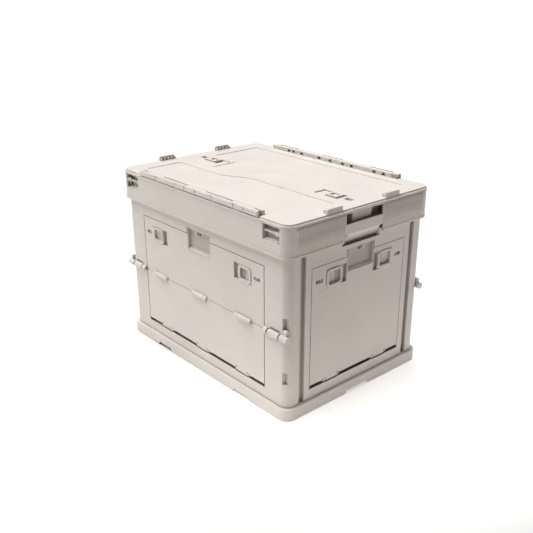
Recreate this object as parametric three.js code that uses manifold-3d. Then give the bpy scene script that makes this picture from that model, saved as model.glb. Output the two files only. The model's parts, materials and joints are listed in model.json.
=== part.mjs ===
// Collapsible storage crate: a lidded moulded box with four drop-down doors.
// Millimetres. +X runs along the long side, -Y is the front, +Z is up, the floor is z = 0.
import * as THREE from 'three';
import { mergeVertices } from 'three/addons/utils/BufferGeometryUtils.js';
import Module from 'manifold-3d';

const wasm = await Module();
wasm.setup();

// ---------------------------------------------------------------- driving sizes
const RIM = { hx: 264, hy: 192.5, r: 21.3, z0: 322.5, z1: 380.5, skin: 3.5 };
const BEAD = { out: 1, top: [377.8, 382], low: [322, 326.3] };   // rounded lips round the rim
const RIM_OPEN = { hx: 241.5, hy: 168.5, r: 9, z0: 345 };   // clear mouth and its inner skin
const BASE = { hx: 264, hy: 192.5, r: 21, h: 24 };
const FACE_Y = 185.7;          // outer face of both long walls
const FACE_X = 257.7;          // outer face of both end walls
const WALL_T = 12;             // wall frame thickness
const DOOR_T = 8;              // door leaf thickness
const POST_END = 155;          // corner posts wrap round to this |y|
const WALL_TOP = 332;          // top of the long wall frames, hidden in the rim
const FOLD = { y: 187, z: 170, r: 6.5 };       // mid-height fold axis of the long walls
const LONG_DOOR = { hw: 196, z0: 50, z1: 293.2 };
const END_DOOR = { hw: 127.5, z0: 50, z1: 291.2 };
const DOOR_AXIS = { inset: 4.5, z: 51, r: 4.5 };            // bottom hinge of every door
const LID = { hx: 261.8, hy: 190.3, r: 19, z0: 381, z1: 385 };
const RAIL = { hx: 188, z0: 383, z1: 394, foot: 382.2 };    // long hinge rails on the lid edges
const LID_AXIS = { y: 187, z: 390.5, r: 3.2 };
const END_AXIS = { x: 250.5, zRight: 334, zLeft: 318, r: 5.5 };
const PIN_GAP = 0.5;           // radial clearance round a pin, measured to the bore's corners
const GAP = 0.5;               // general running clearance

const plastic = (color, roughness) => new THREE.MeshStandardMaterial({ color, roughness, metalness: 0 });
const SHELL = plastic(0xe6e0d4, 0.55);
const TRIM = plastic(0xeee9de, 0.5);
const STEEL = new THREE.MeshStandardMaterial({ color: 0xb9bcc0, roughness: 0.35, metalness: 1 });

// ---------------------------------------------------------------- solid helpers
function solid(geometry) {
  const g = geometry.clone();
  g.deleteAttribute('normal');
  g.deleteAttribute('uv');
  const m = mergeVertices(g, 1e-4);
  const mesh = new wasm.Mesh({
    numProp: 3,
    vertProperties: new Float32Array(m.attributes.position.array),
    triVerts: new Uint32Array(m.index.array),
  });
  return new wasm.Manifold(mesh);
}

function toGeometry(manifold) {
  const out = manifold.getMesh();
  const g = new THREE.BufferGeometry();
  g.setAttribute('position', new THREE.BufferAttribute(new Float32Array(out.vertProperties), 3));
  g.setIndex(new THREE.BufferAttribute(new Uint32Array(out.triVerts), 1));
  return g;
}

function box(x0, x1, y0, y1, z0, z1) {
  const g = new THREE.BoxGeometry(Math.abs(x1 - x0), Math.abs(y1 - y0), Math.abs(z1 - z0));
  g.translate((x0 + x1) / 2, (y0 + y1) / 2, (z0 + z1) / 2);
  return solid(g);
}

// plate with rounded plan corners, centred on the origin
function slab(hx, hy, r, z0, z1, steps = 6) {
  const s = new THREE.Shape();
  s.moveTo(-hx + r, -hy);
  s.lineTo(hx - r, -hy);
  s.absarc(hx - r, -hy + r, r, -Math.PI / 2, 0, false);
  s.lineTo(hx, hy - r);
  s.absarc(hx - r, hy - r, r, 0, Math.PI / 2, false);
  s.lineTo(-hx + r, hy);
  s.absarc(-hx + r, hy - r, r, Math.PI / 2, Math.PI, false);
  s.lineTo(-hx, -hy + r);
  s.absarc(-hx + r, -hy + r, r, Math.PI, 1.5 * Math.PI, false);
  return extrudeZ(s, z0, z1, steps);
}

function extrudeZ(shape, z0, z1, steps = 8) {
  const g = new THREE.ExtrudeGeometry(shape, { depth: z1 - z0, bevelEnabled: false, curveSegments: steps });
  g.translate(0, 0, z0);
  return solid(g);
}

// profile given as [y, z] pairs, swept along x
function extrudeX(points, x0, x1) {
  const s = new THREE.Shape(points.map(([y, z]) => new THREE.Vector2(y, z)));
  const g = new THREE.ExtrudeGeometry(s, { depth: x1 - x0, bevelEnabled: false });
  const m = new THREE.Matrix4().makeBasis(
    new THREE.Vector3(0, 1, 0), new THREE.Vector3(0, 0, 1), new THREE.Vector3(1, 0, 0));
  g.applyMatrix4(m);
  g.translate(x0, 0, 0);
  return solid(g);
}

function rodX(x0, x1, y, z, r, sides = 12) {
  const g = new THREE.CylinderGeometry(r, r, x1 - x0, sides);
  g.rotateZ(-Math.PI / 2);
  g.translate((x0 + x1) / 2, y, z);
  return solid(g);
}

function rodY(y0, y1, x, z, r, sides = 12) {
  const g = new THREE.CylinderGeometry(r, r, y1 - y0, sides);
  g.translate(x, (y0 + y1) / 2, z);
  return solid(g);
}

const boreX = (x0, x1, y, z, r) => rodX(x0, x1, y, z, r, 8);
const join = (first, ...rest) => rest.flat().reduce((a, b) => a.add(b), first);
const cut = (first, ...rest) => rest.flat().reduce((a, b) => a.subtract(b), first);
const span = (a, b) => [Math.min(a, b), Math.max(a, b)];
// box whose x range is mirrored to the chosen side
const sideBox = (s, x0, x1, ...yz) => box(...span(s * x0, s * x1), ...yz);
const sideRod = (s, x0, x1, y, z, r, n) => rodX(...span(s * x0, s * x1), y, z, r, n);
const sideBore = (s, x0, x1, y, z, r) => sideRod(s, x0, x1, y, z, r, 8);

const group = new THREE.Group();
group.name = 'collapsible_storage_crate';

function put(name, manifold, material, turn = 0) {
  const g = toGeometry(manifold);
  if (turn) g.rotateZ(turn);
  const flat = g.toNonIndexed();
  flat.computeVertexNormals();
  const mesh = new THREE.Mesh(flat, material);
  mesh.name = name;
  group.add(mesh);
}

// ---------------------------------------------------------------- base tray
const BASE_HINGE = { y: 168.2, z: 30, r: 4.5, xs: [150], w: 20 };

function baseTray() {
  let b = slab(BASE.hx, BASE.hy, BASE.r, 0, BASE.h);
  b = cut(b, slab(236, 162, 10, 6, BASE.h + 1, 3));                    // inside of the tray
  b = cut(b, slab(260, 188.5, 17, -1, 3, 4));                          // hollow underside
  b = cut(b, cut(slab(259.5, 188, 16.5, 2, 20, 4), slab(240, 166, 14, 1, 21, 3)));
  // stacking notches with sloped ends, two per long side and one per short end
  const notch = (half) => extrudeX([[-half, -1], [half, -1], [half - 6, 7], [6 - half, 7]], -20, 20);
  for (const s of [-1, 1]) {
    b = cut(b, notch(35).translate([s * 262, 0, 0]));
    for (const sy of [-1, 1]) b = cut(b, notch(27).rotate([0, 0, 90]).translate([s * 132, sy * 195, 0]));
  }
  for (const sy of [-1, 1]) for (const s of [-1, 1]) for (const x of BASE_HINGE.xs) {
    for (const side of [-1, 1]) {
      const a = x + side * (BASE_HINGE.w / 2 + GAP);
      const lug = sideBox(s, a, a + side * 8, sy * 172.8, sy * 163, BASE.h - 1, 35.5);
      b = join(b, lug);
    }
    b = cut(b, sideBore(s, x - 30, x + 30, sy * BASE_HINGE.y, BASE_HINGE.z, 2 + PIN_GAP));
  }
  // low ribs under the floor
  for (const x of [-125, 0, 125]) b = join(b, box(x - 1.5, x + 1.5, -167, 167, 1, 4));
  return join(b, box(-241, 241, -1.5, 1.5, 1, 4));
}

// ---------------------------------------------------------------- long walls (front built, rear turned)
const FRAME_KNUCKLES = { upper: [[197.5, 207.5], [242.6, 262]], lower: [[211, 239]] };

function cornerPost(s, z0, z1) {
  const r = 18, x0 = 197, yo = -FACE_Y, yi = yo + WALL_T, xi = FACE_X - WALL_T;
  const p = new THREE.Shape();
  p.moveTo(x0, yo);
  p.lineTo(FACE_X - r, yo);
  p.absarc(FACE_X - r, yo + r, r, -Math.PI / 2, 0, false);
  p.lineTo(FACE_X, -POST_END);
  p.lineTo(xi, -POST_END);
  p.lineTo(xi, yi);
  p.lineTo(x0, yi);
  p.closePath();
  const m = extrudeZ(p, z0, z1, 6);
  return s > 0 ? m : m.mirror([1, 0, 0]);
}

// upright pockets near the corner, one in each half of the wall
const cornerPocket = (s, z0, z1) => sideBox(s, 244.5, 254.5, -FACE_Y - 1, -FACE_Y + 9, z0, z1);

function foldHardware(frame, own, other) {
  let f = frame;
  for (const s of [-1, 1]) {
    for (const [a, b] of other) f = cut(f, sideRod(s, a - 0.4, b + 0.4, -FOLD.y, FOLD.z, FOLD.r + 0.6));
    for (const [a, b] of own) f = join(f, sideRod(s, a, b, -FOLD.y, FOLD.z, FOLD.r));
    f = cut(f, sideBore(s, 196, 260.5, -FOLD.y, FOLD.z, 2.5 + PIN_GAP));
  }
  return f;
}

const LONG_STATIONS = [-129, 0, 129];
const STATION_W = 28;                          // door knuckle, with a frame knuckle at each end
const SPIGOT = { knuckle: 6, stub: 7 };        // moulded stubs that carry the drop-down doors
const SILL_Z = 45.3;                           // top of the frame below each door
const DOOR_Z0 = 53;                            // lower edge of each door leaf
const TAB_HW = 37;                             // upstand of the door round its finger recess
const TAB_TOP = { long: 304.8, end: 304.2 };
const knuckle = (a, b, y, z, r) => rodX(a, b, y, z, r, 8);

// knuckle on a web behind it, with a stub of radius 2 on the side that faces the door's own knuckle
function spigotKnuckle(near, far, y, z) {
  const [a, b] = span(near, far), tip = near > far ? near + SPIGOT.stub : near - SPIGOT.stub;
  return join(knuckle(a, b, y, z, DOOR_AXIS.r), box(a, b, y, y + DOOR_AXIS.r, SILL_Z - 1, z),
    knuckle(...span(far, tip), y, z, 2));
}

function longLower() {
  const yo = -FACE_Y, yi = yo + WALL_T, top = FOLD.z - 0.2;
  let f = box(-198, 198, yo, yi, BASE.h + 1, LONG_DOOR.z0);
  for (const s of [-1, 1]) {
    f = join(f, cornerPost(s, BASE.h + 1, top));
    f = cut(f, cornerPocket(s, 72.5, 98));
  }
  f = foldHardware(f, FRAME_KNUCKLES.lower, FRAME_KNUCKLES.upper);
  f = doorSill(f, LONG_STATIONS, LONG_DOOR.hw + 0.8, FACE_Y);
  for (const s of [-1, 1]) f = cut(f, sideBox(s, 207, 240, yi - 8, yi + 1, 42, 158));   // hollow back
  // base hinge knuckles on the inner face
  for (const s of [-1, 1]) for (const x of BASE_HINGE.xs) {
    const [a, b] = span(s * (x - BASE_HINGE.w / 2), s * (x + BASE_HINGE.w / 2));
    f = join(f, knuckle(a, b, -BASE_HINGE.y, BASE_HINGE.z, BASE_HINGE.r),
      box(a, b, yi - 1, -BASE_HINGE.y, 26, 34));
    f = cut(f, boreX(a - 1, b + 1, -BASE_HINGE.y, BASE_HINGE.z, 2 + PIN_GAP));
  }
  return f;
}

const RIM_PIN = { y: 187, z: 364, x0: 196.5, x1: 246.5, r: 2.5, eye: [238.9, 242.6] };

function longUpper() {
  const yo = -FACE_Y, yi = yo + WALL_T;
  let f = box(-198, 198, yo, yi, LONG_DOOR.z1 + 1, WALL_TOP);
  for (const s of [-1, 1]) {
    f = join(f, cornerPost(s, FOLD.z + 0.2, WALL_TOP));
    f = cut(f, cornerPocket(s, 184, 208));
    f = cut(f, sideBox(s, 190, 204, yo + 1.5, yo + 6.2, LONG_LATCH.z - 7, LONG_LATCH.z + 7));  // bolt keeper
    // eye that hangs on the rim pin
    const [e0, e1] = RIM_PIN.eye;
    const arm = join(sideBox(s, e0, e1, -186.5, -182.5, WALL_TOP - 4, RIM_PIN.z),
      sideRod(s, e0, e1, -RIM_PIN.y, RIM_PIN.z, 5, 10));
    f = join(f, cut(arm, sideBore(s, e0 - 1, e1 + 1, -RIM_PIN.y, RIM_PIN.z, RIM_PIN.r + PIN_GAP)));
    // slot above the fold cylinder and the stop boss beside it
    f = cut(f, sideBox(s, 213, 237, yo - 1, yo + 3.5, 177.2, 180.5));
    f = join(f, sideBox(s, 250, 257, -188.5, yo + 4, FOLD.z, 183), sideRod(s, 250, 257, -184.5, 183, 4, 8));
  }
  f = foldHardware(f, FRAME_KNUCKLES.upper, FRAME_KNUCKLES.lower);
  for (const s of [-1, 1]) {                                                // hollow backs
    f = cut(f, sideBox(s, 207, 240, yi - 8, yi + 1, 184, 252), sideBox(s, 207, 240, yi - 8, yi + 1, 258, 326),
      sideBox(s, 42, 116, yi - 8, yi + 1, 299, 327), sideBox(s, 122, 196, yi - 8, yi + 1, 299, 327));
  }
  return cut(f, box(-TAB_HW - 1, TAB_HW + 1, yo - 1, yi + 1, LONG_DOOR.z1 - 1, TAB_TOP.long + 1.2));
}

// ---------------------------------------------------------------- door parts shared by all four sides
// Every door is drawn as a front door: outer face towards -Y at y = -face.
const FINGER = { hw: 34.5, sill: 261, depth: 6 };

function fingerRecess(face, top) {
  const y = -face;
  return extrudeX([[y - 1, FINGER.sill - 1], [y + FINGER.depth, FINGER.sill + 6],
    [y + FINGER.depth, top + 1], [y - 1, top + 1]], -FINGER.hw, FINGER.hw);
}

// leaf with notches for the hinge stations and an upstand that carries the finger recess
function doorLeaf(face, hw, top, tabTop, stations) {
  const y = -face, n = STATION_W / 2 + SPIGOT.knuckle + 2 * GAP;
  let d = box(-hw, hw, y, y + DOOR_T, DOOR_Z0, top);
  for (const x of stations) d = cut(d, box(x - n, x + n, y - 1, y + DOOR_T + 1, DOOR_Z0 - 1, DOOR_AXIS.z + 5));
  if (!tabTop) return d;
  d = join(d, box(-TAB_HW, TAB_HW, y, y + DOOR_T, top - 1, tabTop));
  d = cut(d, fingerRecess(face, tabTop));
  return cut(d, rodY(y, y + DOOR_T + 1, 0, 298, 2.2, 8));                     // release hole
}

// sill under a door: lowered edge, hidden troughs between the stations, spigot knuckles at each one
function doorSill(frame, stations, hw, face) {
  const yo = -face, ay = yo + DOOR_AXIS.inset, az = DOOR_AXIS.z, h = STATION_W / 2 + GAP;
  const reach = h + SPIGOT.knuckle;
  let f = cut(frame, box(-hw, hw, yo - 1, yo + 9.5, SILL_Z, LONG_DOOR.z0 + 1));
  const ends = [-hw, ...stations.flatMap((x) => [x - reach - 1, x + reach + 1]), hw];
  for (let i = 0; i < ends.length; i += 2) {
    f = cut(f, box(ends[i], ends[i + 1], yo + 2.5, yo + 9.5, 38, SILL_Z + 1));
  }
  for (const x of stations) {
    f = cut(f, box(x - h, x + h, yo - 1, ay + 5.3, 44.8, 60));
    for (const side of [-1, 1]) f = join(f, spigotKnuckle(x + side * reach, x + side * h, ay, az));
  }
  return f;
}

// latch layout along the door: pocket, sliding ring, bolt tunnel and window
const LONG_LATCH = { z: 261, h: 31, x0: 125, x1: 160, travel: 12, win: [168, 184], edge: 195.5 };
const END_LATCH = { z: 261, h: 35, x0: 50, x1: 90, travel: 10, win: [99.5, 116.5], edge: 127 };

function latchCuts(face, L, s) {
  const y = -face, hz = L.h / 2;
  return [
    sideBox(s, L.x0 - L.travel - 3, L.x1 + 0.8, y - 1, y + 5.7, L.z - hz - 0.7, L.z + hz + 0.7),
    sideBox(s, L.x1, L.edge + 2, y + 1.7, y + 5.7, L.z - 5.5, L.z + 5.5),
    sideBox(s, L.win[0], L.win[1], y - 1, y + 2, L.z - 3.2, L.z + 3.2),
  ];
}

function latchSlider(face, L, s) {
  const y = -face, hz = L.h / 2;
  const plate = sideBox(s, L.x0, L.x1, y + 0.3, y + 5.3, L.z - hz, L.z + hz);
  const bolt = sideBox(s, L.x1 - 2, L.edge - 1, y + 2.1, y + 5.3, L.z - 5, L.z + 5);
  const ring = octagonY(s, L.x0, L.x1, y - 1.9, y + 1, L.z, hz, 5.5);
  const dish = octagonY(s, L.x0 + 4.5, L.x1 - 4.5, y - 3, y + 3.9, L.z, hz - 4.5, 3);
  const ribs = [8, 10.5, 13].map((d) => sideBox(s, L.x0 + d, L.x0 + d + 1, y + 2.5, y + 4, L.z - hz + 4.5, L.z + hz - 4.5));
  return join(cut(join(plate, bolt, ring), dish), ribs);
}

// block with its four long corners cut off, depth along y
function octagonY(s, x0, x1, y0, y1, z, hz, c) {
  const pts = [[x0 + c, -hz], [x1 - c, -hz], [x1, c - hz], [x1, hz - c], [x1 - c, hz], [x0 + c, hz],
    [x0, hz - c], [x0, c - hz]];
  const shape = new THREE.Shape(pts.map(([x, h]) => new THREE.Vector2(x, h)));
  const m = extrudeZ(shape, -y1, -y0).rotate([90, 0, 0]).translate([0, 0, z]);
  return s > 0 ? m : m.mirror([1, 0, 0]);
}

// shallow pockets on the inner side that leave a rim and crossing ribs
function lighten(door, face, x1, cols, z0, z1, rows) {
  let d = door;
  const rib = 8, w = (2 * x1 - rib * (cols - 1)) / cols, h = (z1 - z0 - rib * (rows - 1)) / rows;
  for (let i = 0; i < cols; i++) for (let j = 0; j < rows; j++) {
    const a = -x1 + i * (w + rib), b = z0 + j * (h + rib);
    d = cut(d, box(a, a + w, -face + DOOR_T - 5, -face + DOOR_T + 1, b, b + h));
  }
  return d;
}

function bottomHinge(door, face, stations) {
  const ay = -face + DOOR_AXIS.inset, az = DOOR_AXIS.z;
  let d = door;
  for (const x of stations) {
    const a = x - STATION_W / 2, b = x + STATION_W / 2;
    d = join(d, knuckle(a, b, ay, az, DOOR_AXIS.r), box(a, b, -face, -face + 7, az, az + 6));
    d = cut(d, boreX(a - 1, b + 1, ay, az, 2 + PIN_GAP));
  }
  return d;
}

// small sprung tongue at the top of the finger recess, carried by the door
function doorCatch(face, x, z0, z1) {
  const y = -face;
  return join(box(x - 2.2, x + 2.2, y + 1.4, y + 5.7, z0 + 3, z1), box(x - 2.2, x + 2.2, y + 3.4, y + 5.7, z0, z1));
}

// ---------------------------------------------------------------- folding long door (front)
const LEAF_STATIONS = [-137.5, 0, 137.5];
const LEAF = { w: 46, mid: 30, r: 5.3 };      // each station: lower, upper, lower knuckle

function leafKnuckles(leaf, upper) {
  let d = leaf;
  const m = LEAF.mid / 2, e = LEAF.w / 2, y = -FOLD.y, z = FOLD.z;
  for (const x of LEAF_STATIONS) {
    if (upper) {
      for (const s of [-1, 1]) d = cut(d, rodX(...span(x + s * (m + 0.1), x + s * (e + 0.4)), y, z, LEAF.r + 0.5));
      d = join(d, rodX(x - m, x + m, y, z, LEAF.r));
      d = cut(d, boreX(x - m - 1, x + m + 1, y, z, 2 + PIN_GAP));
    } else {
      d = cut(d, rodX(x - m - 0.4, x + m + 0.4, y, z, LEAF.r + 0.5));
      for (const s of [-1, 1]) {
        d = join(d, rodX(...span(x + s * (m + 0.5), x + s * e), y, z, LEAF.r),
          rodX(...span(x + s * (m - 6), x + s * e), y, z, 2, 8));
      }
    }
  }
  return d;
}

function longDoorLower() {
  let d = doorLeaf(FACE_Y, LONG_DOOR.hw - 0.9, FOLD.z - 0.5, 0, LONG_STATIONS);
  d = lighten(d, FACE_Y, 184, 4, 66, 157, 1);
  d = bottomHinge(d, FACE_Y, LONG_STATIONS);
  return leafKnuckles(d, false);
}

function longDoorUpper() {
  const hw = LONG_DOOR.hw - 0.9, top = LONG_DOOR.z1 - 0.5;
  const below = box(-hw - 1, hw + 1, -FACE_Y - 1, -FACE_Y + DOOR_T + 1, DOOR_Z0 - 1, FOLD.z + 0.5);
  let d = cut(doorLeaf(FACE_Y, hw, top, TAB_TOP.long, []), below);
  d = lighten(d, FACE_Y, 184, 4, 184, 242, 1);
  for (const s of [-1, 1]) d = cut(d, latchCuts(FACE_Y, LONG_LATCH, s));
  return leafKnuckles(d, true);
}

// ---------------------------------------------------------------- end walls (drawn facing -Y, then turned)
const END_STATIONS = [-69, 69];
const END_HUNG = [[62, 92], [106, 140]];       // wall knuckles either side of the rim lug
const END_LUG = [93, 105];

function endFrame(axisZ) {
  const f0 = -FACE_X, fi = f0 + WALL_T, top = axisZ - 6.5, z0 = BASE.h + 1.2;
  const ax = -END_AXIS.x;
  let f = join(box(-142, 142, f0, fi, z0, top), box(-153, 153, f0 + 6.5, fi, z0, top));
  f = cut(f, box(-END_DOOR.hw - 0.6, END_DOOR.hw + 0.6, f0 - 1, fi + 1, END_DOOR.z0, END_DOOR.z1));
  f = doorSill(f, END_STATIONS, END_DOOR.hw + 0.7, FACE_X);
  // outer strip that closes the gap up to the rim, notched round the rim lugs
  let strip = box(-142, 142, f0, f0 + 4.2, top - 1, axisZ + 7.4);
  for (const s of [-1, 1]) strip = cut(strip, sideBox(s, END_LUG[0] - 1, END_LUG[1] + 1, f0 - 1, fi, top, 350));
  if (top < RIM.z0) f = join(f, strip);
  for (const s of [-1, 1]) {
    f = cut(f, sideBox(s, 120, 135, f0 + 1.5, f0 + 6.2, END_LATCH.z - 7, END_LATCH.z + 7));
    for (const [a, b] of END_HUNG) {
      f = join(f, sideRod(s, a, b, ax, axisZ, END_AXIS.r, 8), sideBox(s, a, b, ax - 4.5, fi, top - 1, axisZ));
    }
    f = cut(f, sideBore(s, 60, 141, ax, axisZ, 2.5 + PIN_GAP));
  }
  f = cut(f, box(-TAB_HW - 1, TAB_HW + 1, f0 - 1, fi + 1, END_DOOR.z1 - 1, TAB_TOP.end + 1.2));
  // hand room under the grip, with sloped sides
  const room = new THREE.Shape([[-54, f0 - 3], [54, f0 - 3], [44, f0 + 7.5], [-44, f0 + 7.5]]
    .map(([x, y]) => new THREE.Vector2(x, y)));
  return cut(f, extrudeZ(room, 313.5, 350));
}

function endDoor() {
  let d = doorLeaf(FACE_X, END_DOOR.hw - 0.9, END_DOOR.z1 - 1.1, TAB_TOP.end, END_STATIONS);
  d = lighten(d, FACE_X, 116, 3, 66, 234, 2);
  for (const s of [-1, 1]) d = cut(d, latchCuts(FACE_X, END_LATCH, s));
  return bottomHinge(d, FACE_X, END_STATIONS);
}

// ---------------------------------------------------------------- top rim
function rimLugs() {
  const lugs = [];
  for (const sy of [-1, 1]) for (const s of [-1, 1]) {
    // corner pocket: two cheeks that hold the pin, a back wall and a sloped sill
    lugs.push(sideBox(s, RIM_PIN.x0 - 1, 199.5, sy * 190.5, sy * 179.5, 344, 378),
      sideBox(s, 243.4, RIM_PIN.x1 + 1, sy * 190.5, sy * 183, 356, 378),
      sideBox(s, 198, 237.5, sy * 181.5, sy * 179.5, 344, 378),
      extrudeX([[sy * 190.5, 345], [sy * 190.5, 347.5], [sy * 180, 352], [sy * 180, 345]],
        ...span(s * 198, s * 237.5)));
  }
  for (const s of [-1, 1]) {
    const az = s > 0 ? END_AXIS.zRight : END_AXIS.zLeft;
    for (const sy of [-1, 1]) {
      const [y0, y1] = span(sy * END_LUG[0], sy * END_LUG[1]);
      lugs.push(sideBox(s, END_AXIS.x - 5, END_AXIS.x + 5, y0, y1, az, 378),
        rodY(y0, y1, s * END_AXIS.x, az, 5));
    }
    lugs.push(sideBox(s, 243.5, 256, -26, 26, 350, 378));      // block behind the grip
  }
  for (const sy of [-1, 1]) for (const [a, b] of RAIL_KNUCKLES) {
    lugs.push(box(a, b, sy * 190.5, sy * 184, RIM.z1 - 1, RAIL.foot - 0.4));    // rail seats
  }
  return lugs;
}

// sloped wall under the grip bar, running inwards as it goes down
function gripApron() {
  const shape = new THREE.Shape([[263.8, 338], [260.9, 338], [252.4, 319.5], [254.4, 319.5]]
    .map(([x, z]) => new THREE.Vector2(x, z)));
  return extrudeZ(shape, -45, 45).rotate([90, 0, 0]);
}

// closed frame of rounded rectangles, outside of the rim
function rimBead(z0, z1) {
  const o = BEAD.out;
  return cut(slab(RIM.hx + o, RIM.hy + o, RIM.r + o, z0, z1),
    slab(RIM.hx - 1.8, RIM.hy - 1.8, RIM.r - 1.8, z0 - 1, z1 + 1));
}

// pin bores in the rim lugs only, clear of the apron between them
function boreThroughLugs(s, az) {
  const [a, b] = [-1, 1].map((d) => rodY(...span(d * 60, d * 150), s * END_AXIS.x, az, 2.5 + PIN_GAP, 8));
  return join(a, b);
}

function topRim() {
  const k = RIM.skin;
  let r = slab(RIM.hx, RIM.hy, RIM.r, RIM.z0, RIM.z1);
  r = cut(r, slab(RIM.hx - k, RIM.hy - k, RIM.r - k, RIM.z0 - 1, RIM.z1 - k, 4));
  r = join(r, slab(RIM_OPEN.hx + 3, RIM_OPEN.hy + 3, RIM_OPEN.r + 3, RIM_OPEN.z0, RIM.z1, 3));
  r = cut(r, slab(RIM_OPEN.hx, RIM_OPEN.hy, RIM_OPEN.r, RIM.z0, RIM.z1 + 1, 3));
  r = join(r, rimLugs(), rimBead(...BEAD.top), rimBead(...BEAD.low));
  for (const s of [-1, 1]) {
    const az = s > 0 ? END_AXIS.zRight : END_AXIS.zLeft;
    r = cut(r,
      sideBox(s, 257, 270, -50, 50, 356, 376.6),               // upper handle window
      sideBox(s, 258, 270, -54, 54, 320, 337),                 // hand recess, open below
      sideBox(s, 238, 252, -9, 9, 376.6, RIM.z1 + 1),          // lid bolt keeper
      boreThroughLugs(s, az));
    r = join(r, gripApron().rotate([0, 0, s > 0 ? 0 : 180]));
    for (const sy of [-1, 1]) {
      r = cut(r,
        sideBox(s, 199.5, 243.4, sy * 188.9, sy * 196, 347.5, 376.5),
        sideBore(s, 190, 250, sy * RIM_PIN.y, RIM_PIN.z, RIM_PIN.r + PIN_GAP));
    }
  }
  return r;
}

// bar across the corner pocket, with a collar beside the wall's eye
function rimPin(s) {
  const { x0, x1, y, z, r, eye } = RIM_PIN;
  const collar = cut(sideRod(s, 231, eye[0] - 0.6, -y, z, 4.6, 12), sideBore(s, 235.5, eye[0], -y, z, 3.2));
  return join(collar, sideRod(s, x0, x1, -y, z, r, 8));
}

// ---------------------------------------------------------------- lid
const LID_KNUCKLES = [[-170, -110], [-30, 30], [110, 170]];
const RAIL_KNUCKLES = [[-187, -170.6], [-109.4, -30.6], [30.6, 109.4], [170.6, 187]];
const TAB = { y0: 57.5, y1: 98, z: 394 };      // stacking tabs on the short edges

const LID_LATCH = { x0: 172, x1: 200, hy: 12, travel: 10, nose: 238 };

function frontRecess() {
  const s = new THREE.Shape();
  s.moveTo(-221, -153);
  s.lineTo(-221, -78);
  s.quadraticCurveTo(-221, -69, -211, -69);
  s.lineTo(-95, -70);
  s.bezierCurveTo(-45, -69, -45, -40, 5, -39.5);
  s.lineTo(216, -39.5);
  s.quadraticCurveTo(224, -39.5, 224, -48);
  s.lineTo(224, -145);
  s.quadraticCurveTo(224, -153, 216, -153);
  s.closePath();
  return extrudeZ(s, LID.z1 - 1.2, LID.z1 + 1, 8);
}

function rearRecess() {
  const s = new THREE.Shape();
  s.moveTo(-221, 153);
  s.lineTo(-221, 34);
  s.quadraticCurveTo(-221, 26, -212, 26);
  s.lineTo(-150, 26);
  s.quadraticCurveTo(-141, 26, -141, 17);
  s.lineTo(-141, -38);
  s.lineTo(-98, -37.5);
  s.bezierCurveTo(-50, -34, -45, -8, 4, -7.5);
  s.lineTo(120, -7.5);
  s.quadraticCurveTo(129, -7.5, 129, 1);
  s.lineTo(129, 17);
  s.quadraticCurveTo(129, 26, 138, 26);
  s.lineTo(216, 26);
  s.quadraticCurveTo(224, 26, 224, 34);
  s.lineTo(224, 153);
  s.closePath();
  return extrudeZ(s, LID.z1 - 1.2, LID.z1 + 1, 8);
}

function lidPanel() {
  let p = slab(LID.hx, LID.hy, LID.r, LID.z0, LID.z1);
  const lip = cut(slab(239, 166, 8, 375, LID.z0 + 1, 2), slab(237, 164, 6, 374, LID.z0, 2));
  p = join(p, lip);
  p = cut(p, frontRecess(), rearRecess());
  for (const x of [-215, -148, -81, -14, 53]) for (const y of [-160, 20]) {
    p = cut(p, box(x, x + 60, y, y + 140, LID.z0 - 1, LID.z0 + 1.2));       // thinned underside
  }
  for (const y of [-160, 25]) p = cut(p, box(120, 215, y, y + 135, LID.z0 - 1, LID.z0 + 1.2));
  p = cut(p, box(-300, 300, 186.2, 200, 380, 382.5));          // swing clearance at the rear edge
  for (const sy of [-1, 1]) {
    p = cut(p, box(-RAIL.hx - 1.5, RAIL.hx + 1.5, sy * 182.5, sy * 200, 380, 386));
    p = join(p, box(-RAIL.hx, RAIL.hx, sy * 177, sy * 182.5, LID.z0 + 1, RAIL.z1 - 0.5));
    for (const [a, b] of LID_KNUCKLES) {
      p = join(p, rodX(a, b, sy * LID_AXIS.y, LID_AXIS.z, LID_AXIS.r, 10),
        box(a, b, sy * 181, sy * LID_AXIS.y, LID_AXIS.z - 2.4, LID_AXIS.z + 2.4));
    }
    p = cut(p, boreX(-186, 186, sy * LID_AXIS.y, LID_AXIS.z, 1.5 + PIN_GAP));
  }
  for (const x of [-132, -116, -89, -33, 1, 39, 65, 129, 154]) {
    p = cut(p, box(x - 4.5, x + 4.5, 176, 181.6, 386, 391.8));   // moulding pockets in the rear strip
  }
  for (let x = 174; x < 188; x += 3) p = cut(p, box(x, x + 1.5, 176, 180, 386, 394));
  for (const s of [-1, 1]) {
    for (const sy of [-1, 1]) {                                // stacking tabs on the short ends
      p = join(p, stackingTab().rotate([0, 0, s > 0 ? 0 : 180]).translate(
        [s * LID.hx, sy * (TAB.y0 + TAB.y1) / 2, 0]));
    }
    const L = LID_LATCH;
    p = cut(p,
      sideBox(s, 144, 206, -15, 15, LID.z1 - 2.8, LID.z1 + 1),
      sideBox(s, 168, 196, -8, 8, LID.z0 - 1, LID.z1),
      sideBox(s, 213, 231, -6, 6, LID.z0 - 1, LID.z1 + 1),
      sideBox(s, 235, 241, -9, 9, 374, LID.z0));
  }
  return p;
}

// upstanding plate with its outer face on x = 0 and five ribs behind it
function stackingTab() {
  const hw = (TAB.y1 - TAB.y0) / 2, z0 = LID.z1 - 1;
  let t = extrudeX([[-hw, z0], [hw, z0], [hw - 1.5, TAB.z], [1.5 - hw, TAB.z]], -3, 0);
  for (let i = 0; i < 5; i++) {
    const y = -hw + 2.5 + i * (2 * hw - 5) / 4;
    t = join(t, box(-11, -2, y - 0.8, y + 0.8, z0, TAB.z - 2.5));
  }
  return t;
}

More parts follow.
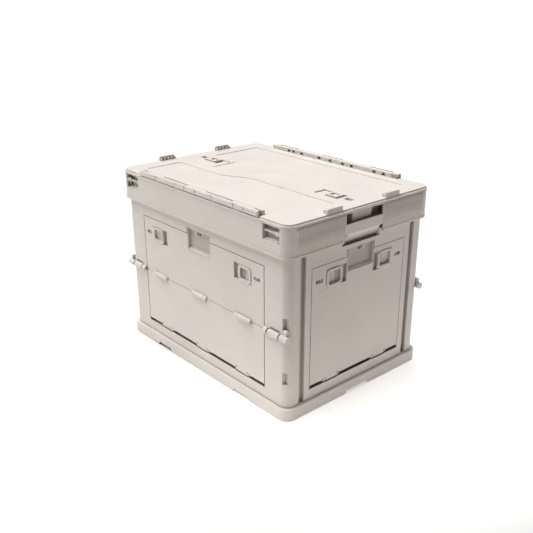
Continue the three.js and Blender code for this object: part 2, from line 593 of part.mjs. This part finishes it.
function lidLatch(s) {
  const L = LID_LATCH, z = LID.z1 - 2.5;
  const top = sideBox(s, L.x0, L.x1, -L.hy, L.hy, z, z + 4.6);
  const neck = sideBox(s, 180, 192, -7.5, 7.5, LID.z0 - 2, z + 1);
  const bar = sideBox(s, 160, L.nose, -7, 7, LID.z0 - 3.4, LID.z0 - 0.4);
  const dish = sideBox(s, L.x0 + 5, L.x1 - 5, -L.hy + 5, L.hy - 5, z + 1.4, z + 5);
  return cut(join(top, neck, bar), dish);
}

function hingeRail() {
  const y = LID_AXIS.y;
  let r = box(-RAIL.hx, RAIL.hx, -RIM.hy, -190.6, RAIL.z0, RAIL.z1);
  for (const [a, b] of RAIL_KNUCKLES) {
    r = join(r, rodX(a, b, -y, LID_AXIS.z, LID_AXIS.r, 10),
      box(a, b, -191, -y, RAIL.foot, RAIL.z1));
    r = cut(r, boreX(a - 1, b + 1, -y, LID_AXIS.z, 1.5 + PIN_GAP));
  }
  return r;
}

// ---------------------------------------------------------------- assembly
const HALF = Math.PI;
const SIDES = [['front', 0], ['rear', HALF]];
put('base_tray', baseTray(), SHELL);
put('top_rim', topRim(), SHELL);
put('lid_panel', lidPanel(), SHELL);
put('front_hinge_rail', hingeRail(), TRIM);
put('rear_hinge_rail', hingeRail(), TRIM, HALF);

for (const [side, turn] of SIDES) {
  put(`${side}_frame_lower`, longLower(), SHELL, turn);
  put(`${side}_frame_upper`, longUpper(), SHELL, turn);
  put(`${side}_door_lower`, longDoorLower(), SHELL, turn);
  put(`${side}_door_upper`, longDoorUpper(), SHELL, turn);
  put(`${side}_door_catch`, doorCatch(FACE_Y, -9, 294.4, TAB_TOP.long), TRIM, turn);
  put(`${side}_lid_pin`, rodX(-185, 185, -LID_AXIS.y, LID_AXIS.z, 1.5, 8), STEEL, turn);
  for (const [tag, s] of [['a', -1], ['b', 1]]) {
    put(`${side}_latch_${tag}`, latchSlider(FACE_Y, LONG_LATCH, s), TRIM, turn);
    put(`${side}_fold_rod_${tag}`, sideRod(s, 199, 260, -FOLD.y, FOLD.z, 2.5, 8), TRIM, turn);
    put(`${side}_rim_pin_${tag}`, rimPin(s), TRIM, turn);
    put(`${side}_base_pin_${tag}`, sideRod(s, 132, 168, -BASE_HINGE.y, BASE_HINGE.z, 2, 8), STEEL, turn);
  }
}

// a quarter turn takes the -Y facing drawing to the +X or the -X end
for (const [side, turn, s] of [['right', Math.PI / 2, 1], ['left', -Math.PI / 2, -1]]) {
  const az = s > 0 ? END_AXIS.zRight : END_AXIS.zLeft;
  put(`${side}_end_frame`, endFrame(az), SHELL, turn);
  put(`${side}_end_door`, endDoor(), SHELL, turn);
  put(`${side}_end_catch`, doorCatch(FACE_X, 8, 293.8, TAB_TOP.end), TRIM, turn);
  put(`${side}_lid_latch`, lidLatch(s), TRIM);
  for (const [tag, d] of [['a', -1], ['b', 1]]) {
    put(`${side}_latch_${tag}`, latchSlider(FACE_X, END_LATCH, d), TRIM, turn);
    put(`${side}_wall_pin_${tag}`, sideRod(d, 61, 140, -END_AXIS.x, az, 2.5, 8), STEEL, turn);
  }
}

export default group;
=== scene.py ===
"""Collapsible storage crate: looks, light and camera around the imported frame. Metres."""
import json
import math

import bmesh
import bpy
from mathutils import Matrix, Vector


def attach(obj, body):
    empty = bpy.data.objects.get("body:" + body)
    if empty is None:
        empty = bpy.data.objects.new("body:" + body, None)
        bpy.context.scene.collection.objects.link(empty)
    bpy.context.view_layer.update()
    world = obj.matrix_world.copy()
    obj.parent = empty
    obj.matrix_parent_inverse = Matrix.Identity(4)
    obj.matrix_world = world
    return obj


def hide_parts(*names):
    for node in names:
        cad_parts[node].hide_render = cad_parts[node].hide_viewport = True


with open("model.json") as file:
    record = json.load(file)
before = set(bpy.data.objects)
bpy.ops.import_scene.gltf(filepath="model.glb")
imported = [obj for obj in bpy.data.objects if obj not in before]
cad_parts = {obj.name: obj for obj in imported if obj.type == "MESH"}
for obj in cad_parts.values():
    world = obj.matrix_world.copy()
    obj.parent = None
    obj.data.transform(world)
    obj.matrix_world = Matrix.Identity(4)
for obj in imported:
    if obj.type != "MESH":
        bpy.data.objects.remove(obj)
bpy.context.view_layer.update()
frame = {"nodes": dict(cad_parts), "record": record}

NODES = frame["nodes"]
RECORD = frame["record"]
BODY_OF = {n: b for b, nodes in RECORD["behaviour"]["bodies"].items() for n in nodes}
SOFT_LIMIT = 0.001              # a zone of painted shade fades out over this much


# ------------------------------------------------------------------ materials
def tree(name):
    m = bpy.data.materials.new(name)
    m.use_nodes = True
    nt = m.node_tree
    return m, nt, nt.nodes["Principled BSDF"]


def object_coords(nt):
    return nt.nodes.new("ShaderNodeTexCoord").outputs["Object"]


def noise(nt, coord, scale, detail=3.0, rough=0.5):
    n = nt.nodes.new("ShaderNodeTexNoise")
    n.inputs["Scale"].default_value = scale
    n.inputs["Detail"].default_value = detail
    n.inputs["Roughness"].default_value = rough
    nt.links.new(coord, n.inputs["Vector"])
    return n.outputs["Fac"]


def ramp(nt, fac, stops):
    r = nt.nodes.new("ShaderNodeValToRGB")
    e = r.color_ramp.elements
    while len(e) < len(stops):
        e.new(0.5)
    for el, (pos, col) in zip(e, stops):
        el.position = pos
        el.color = (*col, 1)
    nt.links.new(fac, r.inputs["Fac"])
    return r.outputs["Color"]


def remap(nt, fac, lo, hi, a=0.0, b=1.0):
    """Maps a to lo and b to hi, and holds the ends beyond them."""
    n = nt.nodes.new("ShaderNodeMapRange")
    for k, v in (("From Min", a), ("From Max", b), ("To Min", lo), ("To Max", hi)):
        n.inputs[k].default_value = v
    nt.links.new(fac, n.inputs["Value"])
    return n.outputs["Result"]


def mix(nt, fac, a, b):
    """a where fac is 0, b where it is 1; each is a colour or an output."""
    n = nt.nodes.new("ShaderNodeMix")
    n.data_type = "RGBA"
    for key, v in (("Factor", fac), ("A", a), ("B", b)):
        sock = next(s for s in n.inputs if s.name == key and s.enabled)
        if isinstance(v, (int, float)):
            sock.default_value = v
        elif isinstance(v, tuple):
            sock.default_value = (*v, 1)
        else:
            nt.links.new(v, sock)
    return next(s for s in n.outputs if s.enabled)


WEAR_AND_HIGHLIGHT_WIDTH = 0.0011              # reach of the lighter edges, partly wear and partly painted highlight
SPARK_DEPTH = 0.00006            # depth of the moulded grain
# painted shade for recesses behind a face and for the hollow under a grip
RECESS_PAINTED_SHADE = (0.54, 0.485, 0.435)
HOLLOW_PAINTED_SHADE = (0.30, 0.255, 0.215)
RIB_GROOVE_PAINTED_SHADE = ((0.40, 0.34, 0.29), 0.003, 0.9, 0.97)        # colour, reach, depth and clear of the painted shade in the rib grooves
# painted shade in seams, slots and pockets, at a small and a large reach: colour, reach, depth, clear
CREVICE_PAINTED_SHADE = (((0.36, 0.28, 0.225), 0.006, 0.75, 0.56), ((0.34, 0.28, 0.24), 0.028, 0.72, 0.56))


def edge_mask(nt, radius):
    """1 near convex and concave edges, 0 on flat faces."""
    geo = nt.nodes.new("ShaderNodeNewGeometry")
    bev = nt.nodes.new("ShaderNodeBevel")
    bev.samples = 4
    bev.inputs["Radius"].default_value = radius
    dot = nt.nodes.new("ShaderNodeVectorMath")
    dot.operation = "DOT_PRODUCT"
    nt.links.new(bev.outputs["Normal"], dot.inputs[0])
    nt.links.new(geo.outputs["Normal"], dot.inputs[1])
    return remap(nt, dot.outputs["Value"], 1.0, 0.0, 0.90, 0.995)


def paint_crevice_shade(nt, base, colour, reach, depth, clear):
    """Paints shade into base where less than clear of the air within reach is open: seams, slots, deep
    pockets.
    """
    ao = nt.nodes.new("ShaderNodeAmbientOcclusion")
    ao.samples = 6
    ao.inputs["Distance"].default_value = reach
    shade = remap(nt, ao.outputs["AO"], depth, 0.0, 0.15, clear)
    return mix(nt, shade, base, colour)


def maths(nt, operation, *values):
    """One math node; a value is a number or an output."""
    n = nt.nodes.new("ShaderNodeMath")
    n.operation = operation
    for socket, v in zip(n.inputs, values):
        if isinstance(v, (int, float)):
            socket.default_value = v
        else:
            nt.links.new(v, socket)
    return n.outputs[0]


def position(nt):
    """The x, y and z of a point in the piece's own frame, in metres."""
    sep = nt.nodes.new("ShaderNodeSeparateXYZ")
    nt.links.new(object_coords(nt), sep.inputs[0])
    return sep.outputs


def within(nt, out, half):
    """1 where a place is within half of the middle, 0 beyond."""
    return remap(nt, maths(nt, "ABSOLUTE", out), 1.0, 0.0, half, half + SOFT_LIMIT)


def paint_recess_shade(nt, base, colour, axis, outer, reach, half=None):
    """Paints shade onto what lies well behind the outer plane |axis| = outer.

    With half given, only where the other level axis is within half of the middle."""
    xyz = position(nt)
    depth = maths(nt, "ABSOLUTE", xyz[axis])
    fac = remap(nt, depth, 1.0, 0.0, outer - reach, outer - 0.5 * reach)
    if half:
        fac = maths(nt, "MULTIPLY", fac, within(nt, xyz[1 - axis], half))
    return mix(nt, fac, base, colour)


def hollow_shade(nt, base, colour, half, top, bottom):
    """Paints shade into the hollow below a grip, more and more from top down to bottom."""
    xyz = position(nt)
    low = remap(nt, xyz[2], 1.0, 0.0, bottom, top)
    return mix(nt, maths(nt, "MULTIPLY", within(nt, xyz[1], half), low), base, colour)


def tone(colour, factor):
    return tuple(min(1.0, c * factor) for c in colour)


def plastic(name, colour, rough=0.46, wear_and_highlight=0.7, recess=None, hollow=None, groove=False):
    """Moulded polypropylene: fine spark texture, faint flow clouding, scuffs, lighter edges that are partly
    wear and partly painted highlight, and painted shade in every crevice.

    recess and hollow are the zones of painted shade behind a face and under a grip; groove paints shade
    into the gaps of fine ribs."""
    m, nt, bsdf = tree(name)
    obj = object_coords(nt)
    cloud = noise(nt, obj, 9.0, 3.0)
    speck = noise(nt, obj, 260.0, 2.0)
    base = ramp(nt, cloud, [(0.3, tone(colour, 0.965)), (0.7, tone(colour, 1.02))])
    base = mix(nt, remap(nt, speck, 0.0, 0.05, 0.35, 0.75), base, tone(colour, 0.8))
    patch = remap(nt, noise(nt, obj, 40.0, 4.0), 0.2, 1.0, 0.35, 0.65)
    # lighter edges: partly wear, partly painted highlight along every edge
    rubbed_and_highlit = maths(nt, "MULTIPLY", edge_mask(nt, WEAR_AND_HIGHLIGHT_WIDTH), patch)
    base = mix(nt, remap(nt, rubbed_and_highlit, 0.0, wear_and_highlight), base, tone(colour, 1.2))
    # painted shade in recesses behind the face and in the hollow under the grip
    if recess:
        base = paint_recess_shade(nt, base, RECESS_PAINTED_SHADE, *recess)
    if hollow:
        base = hollow_shade(nt, base, HOLLOW_PAINTED_SHADE, *hollow)
    # painted shade in the gaps of fine ribs
    if groove:
        base = paint_crevice_shade(nt, base, *RIB_GROOVE_PAINTED_SHADE)
    # painted shade in seams, slots and pockets
    for layer in CREVICE_PAINTED_SHADE:
        base = paint_crevice_shade(nt, base, *layer)
    nt.links.new(base, bsdf.inputs["Base Color"])
    scuff = noise(nt, obj, 22.0, 5.0, 0.65)
    nt.links.new(remap(nt, scuff, rough - 0.05, rough + 0.09, 0.3, 0.7), bsdf.inputs["Roughness"])
    bsdf.inputs["Specular IOR Level"].default_value = 0.42
    fine = noise(nt, obj, 900.0, 2.0)
    wave = noise(nt, obj, 14.0, 2.0)
    height = maths(nt, "MULTIPLY_ADD", wave, 4.0, fine)
    bump = nt.nodes.new("ShaderNodeBump")
    bump.inputs["Strength"].default_value = 0.5
    bump.inputs["Distance"].default_value = SPARK_DEPTH
    nt.links.new(height, bump.inputs["Height"])
    nt.links.new(bump.outputs["Normal"], bsdf.inputs["Normal"])
    return m


def steel(name):
    m, nt, bsdf = tree(name)
    obj = object_coords(nt)
    shades = [(0.3, (0.50, 0.50, 0.51)), (0.7, (0.62, 0.62, 0.63))]
    nt.links.new(ramp(nt, noise(nt, obj, 60.0), shades), bsdf.inputs["Base Color"])
    nt.links.new(remap(nt, noise(nt, obj, 400.0), 0.26, 0.42), bsdf.inputs["Roughness"])
    bsdf.inputs["Metallic"].default_value = 1.0
    bump = nt.nodes.new("ShaderNodeBump")
    bump.inputs["Strength"].default_value = 0.3
    bump.inputs["Distance"].default_value = 0.00003
    nt.links.new(noise(nt, obj, 1500.0), bump.inputs["Height"])
    nt.links.new(bump.outputs["Normal"], bsdf.inputs["Normal"])
    return m


IVORY = (0.745, 0.685, 0.632)
BRIGHT = tone(IVORY, 1.03)
# zones that get painted shade: recesses behind the long and short faces and behind the grip, and the hollow
# under the grip
LONG_SIDE = (1, 0.1857, 0.0060)                 # axis, outer plane, depth of the recesses behind it
SHORT_SIDE = (0, 0.2577, 0.0060)
GRIP = (0, 0.2640, 0.0110, 0.052)               # the same, and half the width
GRIP_HOLLOW = (0.052, 0.3345, 0.3170)           # half width, top and bottom of the painted shade in the hollow under the grip
SMOOTH = 0.42                                    # roughness of the small mouldings
SHELL = plastic("shell_plastic", IVORY)
TRIM = plastic("trim_plastic", BRIGHT, rough=SMOOTH)
PIN = steel("pin_steel")
SLOT_MAT = {"shell": SHELL, "trim": TRIM, "steel": PIN}
SLOT_OF = {s["node"]: s["material_slot"] for s in RECORD["subparts"]}
SUNK_MAT = {
    ("shell", "long"): plastic("shell_long_door", IVORY, recess=LONG_SIDE),
    ("shell", "short"): plastic("shell_end_wall", IVORY, recess=SHORT_SIDE),
    ("shell", "rim"): plastic("shell_rim", IVORY, recess=GRIP, hollow=GRIP_HOLLOW),
    ("trim", "long"): plastic("trim_long_latch", BRIGHT, rough=SMOOTH, recess=LONG_SIDE),
    ("trim", "short"): plastic("trim_end_latch", BRIGHT, rough=SMOOTH, recess=SHORT_SIDE),
}


def material_of(node):
    """The plastic of a node; parts in a side wall get the one whose painted recess shade fits their face.
    """
    side, kind = node.split("_")[0], SLOT_OF[node]
    if node == "top_rim":
        return SUNK_MAT["shell", "rim"]
    if "lid" in node or "rail" in node:
        return SLOT_MAT[kind]
    if side in ("front", "rear") and ("door" in node or "_latch_" in node):
        return SUNK_MAT[kind, "long"]
    if side in ("right", "left"):
        return SUNK_MAT[kind, "short"]
    return SLOT_MAT[kind]


# ------------------------------------------------------------------ carried-over nodes, with softened edges
EDGE = {"base_tray": 0.0013, "top_rim": 0.0009, "lid_panel": 0.0007}
SMALL_EDGE = 0.0006
WELD = 1e-6


def round_edges(o, width, angle):
    bev = o.modifiers.new("edges", "BEVEL")
    bev.limit_method = "ANGLE"
    bev.angle_limit = angle
    bev.width = width
    bev.segments = 2
    return bev


def even_faces(o):
    even = o.modifiers.new("flat_faces", "WEIGHTED_NORMAL")
    even.weight = 90
    return even


def refine(node, width):
    """A copy of a node's solid with flat faces merged, its edges rounded and its curves smooth."""
    me = NODES[node].data.copy()
    bm = bmesh.new()
    bm.from_mesh(me)
    bmesh.ops.remove_doubles(bm, verts=bm.verts, dist=WELD)
    if "latch" not in node:
        bmesh.ops.dissolve_limit(bm, angle_limit=math.radians(1.0), verts=bm.verts, edges=bm.edges)
    for f in bm.faces:
        f.smooth = True
    bm.to_mesh(me)
    bm.free()
    me.materials.clear()
    me.materials.append(material_of(node))
    o = bpy.data.objects.new(f"{node}_skin", me)
    bpy.context.collection.objects.link(o)
    round_edges(o, width, math.radians(33)).miter_outer = "MITER_SHARP"
    even_faces(o).keep_sharp = True
    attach(o, BODY_OF[node])
    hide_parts(node)


for node in sorted(NODES):
    if SLOT_OF[node] == "steel":
        for material_slot in NODES[node].material_slots:
            material_slot.material = PIN
    else:
        refine(node, EDGE.get(node, SMALL_EDGE))


# ------------------------------------------------------------------ fine moulded detail, riding the bodies
MM = 0.001


def object_from(bm, name, body, slot="shell", bevel=0.0, mat=None):
    """A piece from a drawing in metres, riding a body."""
    me = bpy.data.meshes.new(name)
    bmesh.ops.recalc_face_normals(bm, faces=bm.faces)
    bm.to_mesh(me)
    bm.free()
    for p in me.polygons:
        p.use_smooth = True
    me.materials.append(mat or SLOT_MAT[slot])
    o = bpy.data.objects.new(name, me)
    bpy.context.collection.objects.link(o)
    if bevel:
        round_edges(o, bevel, math.radians(30))
        even_faces(o)
    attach(o, body)


def block(bm, lo, hi, taper=0.0, axis=1, side=-1):
    """Box between two corners in mm; the face on the given side of axis is drawn in by taper."""
    for v in bmesh.ops.create_cube(bm, size=1.0)["verts"]:
        out = v.co[axis] * side > 0
        for k in range(3):
            mid, half = (lo[k] + hi[k]) / 2, (hi[k] - lo[k]) / 2
            if out and k != axis:
                half = max(half - taper, 0.01)
            v.co[k] = (mid + (half if v.co[k] > 0 else -half)) * MM


def turned(bm, quarter):
    """Turns a front facing drawing about z: 0 front, 1 right end, 2 rear, 3 left end."""
    turn = Matrix.Rotation(quarter * math.pi / 2, 3, "Z")
    bmesh.ops.rotate(bm, verts=bm.verts, cent=(0, 0, 0), matrix=turn)


# driving places in mm; each detail is drawn on the front and turned to its side
FACE = {0: 185.7, 1: 257.7, 2: 185.7, 3: 257.7}  # outer face of the doors on each side
SIDE = {0: "front", 1: "right", 2: "rear", 3: "left"}
DOOR_BODY = {0: "front_upper_leaf", 1: "right_door", 2: "rear_upper_leaf", 3: "left_door"}
RIM_END_X, RIM_FACE_Y = 264.0, 192.5

# the ribbed fields get painted shade in the gaps between the ribs
RIBBED = plastic("rim_ribs", IVORY, groove=True)
RIB_FIELD = (51.5, 171.5, 327.2, 377.2)         # level from and to, height from and to
RIB_PITCH, RIB_FOOT, RIB_SLOPE = 3.75, 1.9, 0.25
RIB_BACK, RIB_ROOT, RIB_CREST = 0.3, 0.12, 1.25  # behind, in front and in front of the rim's end face
RIB_MARGIN = 1.4                                # plain strip before the first rib


def bridge(bm, ring, following):
    """Joins two rings of vertices with a band of faces."""
    for i in range(len(ring)):
        j = (i + 1) % len(ring)
        bm.faces.new((ring[i], ring[j], following[j], following[i]))


def rim_ribs(quarter):
    """Two finely ribbed fields beside the grip on a short end of the rim, drawn facing -Y."""
    bm = bmesh.new()
    for s in (-1, 1):
        back, root, crest = -RIM_END_X + RIB_BACK, -RIM_END_X - RIB_ROOT, -RIM_END_X - RIB_CREST
        a, b, z0, z1 = RIB_FIELD
        outline = [(a, back), (a, root)]
        x = a + RIB_MARGIN
        while x < b - RIB_FOOT - 0.5:
            end = x + RIB_FOOT
            outline += [(x, root), (x + RIB_SLOPE, crest), (end - RIB_SLOPE, crest), (end, root)]
            x += RIB_PITCH
        outline += [(b, root), (b, back)]
        lower = [bm.verts.new((s * px * MM, py * MM, z0 * MM)) for px, py in outline]
        upper = [bm.verts.new((s * px * MM, py * MM, z1 * MM)) for px, py in outline]
        bridge(bm, lower, upper)
        bm.faces.new(lower)
        bm.faces.new(upper)
    turned(bm, quarter)
    object_from(bm, f"{SIDE[quarter]}_rim_ribs", "crate", mat=RIBBED)


def border(quarter, body, name, path, width, proud):
    """Raised line on a face along points (x, z) in mm, mitred at its corners."""
    bm = bmesh.new()
    foot, crest, slope = -FACE[quarter] + 0.1, -FACE[quarter] - proud, 0.3
    pts = [Vector(p) for p in path]
    rings = []
    for i, p in enumerate(pts):
        before = (p - pts[i - 1]).normalized() if i else (pts[1] - p).normalized()
        after = (pts[i + 1] - p).normalized() if i < len(pts) - 1 else before
        n = Vector((-(before.y + after.y), before.x + after.x)).normalized()
        k = width / 2 / n.dot(Vector((-before.y, before.x)))
        across = ((k, foot), (k - slope, crest), (slope - k, crest), (-k, foot))
        corners = [(p + n * off, y) for off, y in across]
        rings.append([bm.verts.new((c.x * MM, y * MM, c.y * MM)) for c, y in corners])
    for ring, following in zip(rings, rings[1:]):
        bridge(bm, ring, following)
    bm.faces.new(rings[0])
    bm.faces.new(rings[-1])
    turned(bm, quarter)
    object_from(bm, name, body)


RECESS_HW, RECESS_FOOT = 35.6, 259.8            # finger recess in the upper edge of every door
TAB_TOP = {0: 304.5, 1: 303.9}                  # top of that recess on the long and the short doors
for q in range(4):
    top = TAB_TOP[q % 2]
    path = [(-RECESS_HW, top), (-RECESS_HW, RECESS_FOOT), (RECESS_HW, RECESS_FOOT), (RECESS_HW, top)]
    border(q, DOOR_BODY[q], f"{SIDE[q]}_recess_line", path, width=1.6, proud=0.55)
    if q % 2:
        rim_ribs(q)

# indicator windows beside the latches: a dark plate with two plain pale bars
WINDOW = {0: (168, 184), 1: (99.5, 116.5)}      # level from and to
WINDOW_Z, WINDOW_HZ, WINDOW_DEPTH, WINDOW_GAP = 261, 3.05, 1.95, 0.15
BARS = ((4.2, -2.0, 2.0), (9.6, -1.5, 0.9))      # distance into the window, height from and to
BAR_HW = 1.6
# dark plastic of the indicator plates, also used as painted shade in the release holes
DARK = plastic("indicator_dark_and_hole_shade", (0.10, 0.075, 0.065), rough=0.5, wear_and_highlight=0.1)
for q in range(4):
    near, far = WINDOW[q % 2]
    y = -FACE[q] + WINDOW_DEPTH
    bm = bmesh.new()
    for s in (-1, 1):
        lo, hi = sorted((s * (near + WINDOW_GAP), s * (far - WINDOW_GAP)))
        block(bm, (lo, y - 0.5, WINDOW_Z - WINDOW_HZ), (hi, y, WINDOW_Z + WINDOW_HZ), 0.1)
    turned(bm, q)
    object_from(bm, f"{SIDE[q]}_indicator_plates", DOOR_BODY[q], "trim", mat=DARK)
    bm = bmesh.new()
    for s in (-1, 1):
        for off, low, high in BARS:
            c = s * (near + off)
            block(bm, (c - BAR_HW, y - 1.2, WINDOW_Z + low), (c + BAR_HW, y - 0.4, WINDOW_Z + high), 0.35)
    turned(bm, q)
    object_from(bm, f"{SIDE[q]}_indicator_marks", DOOR_BODY[q], "trim", bevel=0.0001)

# dark block in the release hole of each finger recess: painted shade standing in for the dark inside of the
# hole
RELEASE_Z, RELEASE_HW, RECESS_DEPTH = 298.0, 2.4, 6.0
for q in range(4):
    bm = bmesh.new()
    y, hw = -FACE[q] + RECESS_DEPTH, RELEASE_HW
    block(bm, (-hw, y - 0.15, RELEASE_Z - hw), (hw, y + 1.0, RELEASE_Z + hw))
    turned(bm, q)
    object_from(bm, f"{SIDE[q]}_release_hole_shade", DOOR_BODY[q], mat=DARK)

# raised blocks along the outer face of the hinge rails, and small bumps on their upper edge
RAIL_BLOCKS = [(-187, -150), (-148, -132), (-119, -64), (-52, -31), (-28, 4), (5.5, 53), (64, 119),
               (133, 148), (150, 187)]
BLOCK_PROUD, BLOCK_Z = 1.1, (384.0, 393.2)
BUMPS = (-168, -98, -12, 71, 119, 172)
BUMP_HW, BUMP_Y, BUMP_Z = 2.2, (-192.4, -190.8), (393.5, 394.9)
for q, body in ((0, "front_rail"), (2, "crate")):
    bm = bmesh.new()
    for a, b in RAIL_BLOCKS:
        block(bm, (a, -RIM_FACE_Y - BLOCK_PROUD, BLOCK_Z[0]), (b, -RIM_FACE_Y + 0.4, BLOCK_Z[1]), 0.4)
    for x in BUMPS:
        lo, hi = (x - BUMP_HW, BUMP_Y[0], BUMP_Z[0]), (x + BUMP_HW, BUMP_Y[1], BUMP_Z[1])
        block(bm, lo, hi, 0.6, axis=2, side=1)
    turned(bm, q)
    object_from(bm, f"{SIDE[q]}_rail_blocks", body, "trim", bevel=0.00025)


# ------------------------------------------------------------------ stage, light and camera
# painted floor light: the floor's colour falls to grey away from the crate (painted shade), and it glows
# beside the right end (painted light)
FLOOR_NEAR, FLOOR_FAR = (0.88, 0.855, 0.83), (0.32, 0.31, 0.30)
FALL_WAY, FALL_FROM, FALL_TO = (0.85, -0.5, 0.0), 0.42, 1.1
GLOW_AT, GLOW, GLOW_FROM, GLOW_TO = (0.28, 0.03, 0.0), 0.46, 0.20, 0.46


def studio_floor():
    """Pale floor with painted light: a painted glow beside the crate's right end, and painted shade falling
    off to grey beyond it.
    """
    m, nt, bsdf = tree("floor_painted_glow_and_falloff")
    bsdf.inputs["Roughness"].default_value = 0.9
    bsdf.inputs["Specular IOR Level"].default_value = 0.1
    geo = nt.nodes.new("ShaderNodeNewGeometry").outputs["Position"]
    along = nt.nodes.new("ShaderNodeVectorMath")
    along.operation = "DOT_PRODUCT"
    along.inputs[1].default_value = FALL_WAY
    nt.links.new(geo, along.inputs[0])
    # painted shade: the floor grows grey along FALL_WAY
    fall = remap(nt, along.outputs["Value"], 0.0, 1.0, FALL_FROM, FALL_TO)
    nt.links.new(mix(nt, fall, FLOOR_NEAR, FLOOR_FAR), bsdf.inputs["Base Color"])
    dist = nt.nodes.new("ShaderNodeVectorMath")
    dist.operation = "DISTANCE"
    dist.inputs[1].default_value = GLOW_AT
    nt.links.new(geo, dist.inputs[0])
    # painted light: the floor glows near GLOW_AT though it is no lamp
    glow = remap(nt, dist.outputs["Value"], GLOW, 0.0, GLOW_FROM, GLOW_TO)
    nt.links.new(glow, bsdf.inputs["Emission Strength"])
    bsdf.inputs["Emission Color"].default_value = (1.0, 0.97, 0.94, 1)
    return m


FLOOR_HALF, FLOOR_DROP = 90.0, 0.0005
bm = bmesh.new()
bmesh.ops.create_grid(bm, x_segments=2, y_segments=2, size=FLOOR_HALF)
me = bpy.data.meshes.new("floor")
bm.to_mesh(me)
bm.free()
floor = bpy.data.objects.new("floor", me)
bpy.context.collection.objects.link(floor)
floor.location.z = -FLOOR_DROP
me.materials.append(studio_floor())

world = bpy.data.worlds.new("studio")
bpy.context.scene.world = world
world.use_nodes = True
world.node_tree.nodes["Background"].inputs["Color"].default_value = (1, 1, 1, 1)
world.node_tree.nodes["Background"].inputs["Strength"].default_value = 0.06


def light(name, kind, energy, towards):
    """A light shining along the given direction."""
    data = bpy.data.lights.new(name, kind)
    data.energy = energy
    o = bpy.data.objects.new(name, data)
    bpy.context.collection.objects.link(o)
    o.rotation_euler = Vector(towards).to_track_quat("-Z", "Y").to_euler()
    return o


overhead = light("overhead", "SUN", 4.25, (0.26, 0.155, -0.95))     # broad, a little to the front left
overhead.data.angle = math.radians(58)
overhead.data.color = (0.965, 0.99, 1.0)
front = light("front_soft", "AREA", 2, (1.2, 2.6, -0.85))
front.location = (-1.2, -2.6, 1.0)
front.data.shape = "SQUARE"
front.data.size = 1.6

CAMERA_AT, CAMERA_AIM = Vector((1.09426, -0.96496, 0.77115)), Vector((0, 0, 0.170))
cam_data = bpy.data.cameras.new("camera")
cam_data.sensor_width = 36.0
cam_data.lens = 49.0323
cam_data.shift_x = -0.0056
cam_data.shift_y = 0.0112
cam = bpy.data.objects.new("camera", cam_data)
bpy.context.collection.objects.link(cam)
cam.location = CAMERA_AT
cam.rotation_euler = (CAMERA_AIM - CAMERA_AT).to_track_quat("-Z", "Y").to_euler()
bpy.context.scene.camera = cam
bpy.context.scene.view_settings.view_transform = "Standard"
bpy.context.scene.view_settings.look = "None"
